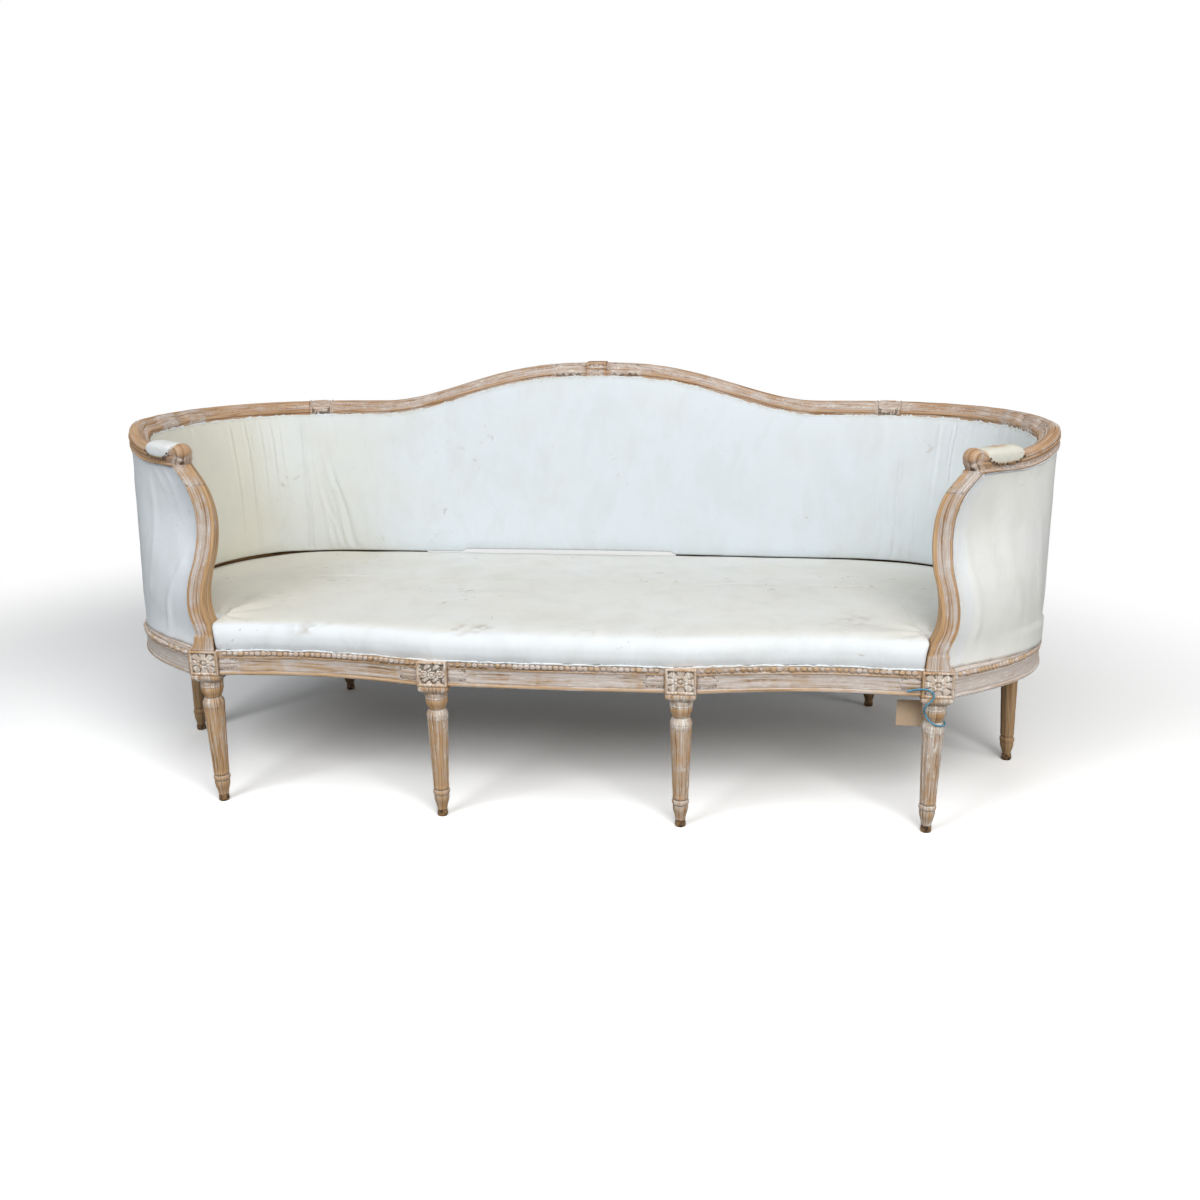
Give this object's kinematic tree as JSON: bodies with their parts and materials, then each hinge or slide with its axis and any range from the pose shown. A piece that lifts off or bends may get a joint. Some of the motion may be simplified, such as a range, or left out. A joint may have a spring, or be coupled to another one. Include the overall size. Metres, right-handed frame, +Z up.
{
  "type": "tub sofa",
  "caption": "Tub sofa with an exposed moulded wood frame, turned legs, wrap-round arms and a shallow crested back, covered in plain calico.",
  "frame": {"origin": "on the floor, under the middle of the overall box", "axes": "+X towards the right end as seen from the front, +Y towards the back, +Z up"},
  "size_m": [2.129, 0.82, 0.943],
  "materials": {
    "limed_wood": "stripped and limed, with pale gesso left in the carving",
    "raw_wood": "bare, worn and unpolished",
    "glide_metal": "dark patina",
    "calico": "plain undyed cotton, slightly stained",
    "webbing": "woven jute",
    "paper": "matt card",
    "string": "soft spun cotton"
  },
  "bodies": {
    "root": {"leg_corner_left": "limed_wood", "leg_corner_right": "limed_wood", "leg_middle_left": "limed_wood", "leg_middle_right": "limed_wood", "leg_side_left": "raw_wood", "leg_side_right": "raw_wood", "leg_back_left": "raw_wood", "leg_back_right": "raw_wood", "glide_corner_left": "glide_metal", "glide_corner_right": "glide_metal", "glide_middle_left": "glide_metal", "glide_middle_right": "glide_metal", "glide_side_left": "glide_metal", "glide_side_right": "glide_metal", "glide_back_left": "glide_metal", "glide_back_right": "glide_metal", "rail_front_left": "limed_wood", "rail_front_middle": "limed_wood", "rail_front_right": "limed_wood", "rail_side_left": "limed_wood", "rail_side_right": "limed_wood", "rail_rear_corner_left": "limed_wood", "rail_rear_corner_right": "limed_wood", "rail_back": "raw_wood", "cross_brace_left": "raw_wood", "cross_brace_right": "raw_wood", "crest_rail": "limed_wood", "top_rail_corner_left": "limed_wood", "top_rail_corner_right": "limed_wood", "arm_rail_left": "limed_wood", "arm_rail_right": "limed_wood", "arm_support_left": "limed_wood", "arm_support_right": "limed_wood", "stile_back_left": "raw_wood", "stile_back_right": "raw_wood", "stile_side_left": "raw_wood", "stile_side_right": "raw_wood", "stay_rail_back": "raw_wood", "stay_rail_corner_left": "raw_wood", "stay_rail_corner_right": "raw_wood", "stay_rail_side_left": "raw_wood", "stay_rail_side_right": "raw_wood", "seat_webbing": "webbing", "seat_pad": "calico", "inside_back": "calico", "inside_arm_left": "calico", "inside_arm_right": "calico", "outside_back_cover": "calico", "outside_arm_cover_left": "calico", "outside_arm_cover_right": "calico", "arm_pad_left": "calico", "arm_pad_right": "calico", "paper_tag": "paper", "tag_string": "string"}
  },
  "joints": []
}
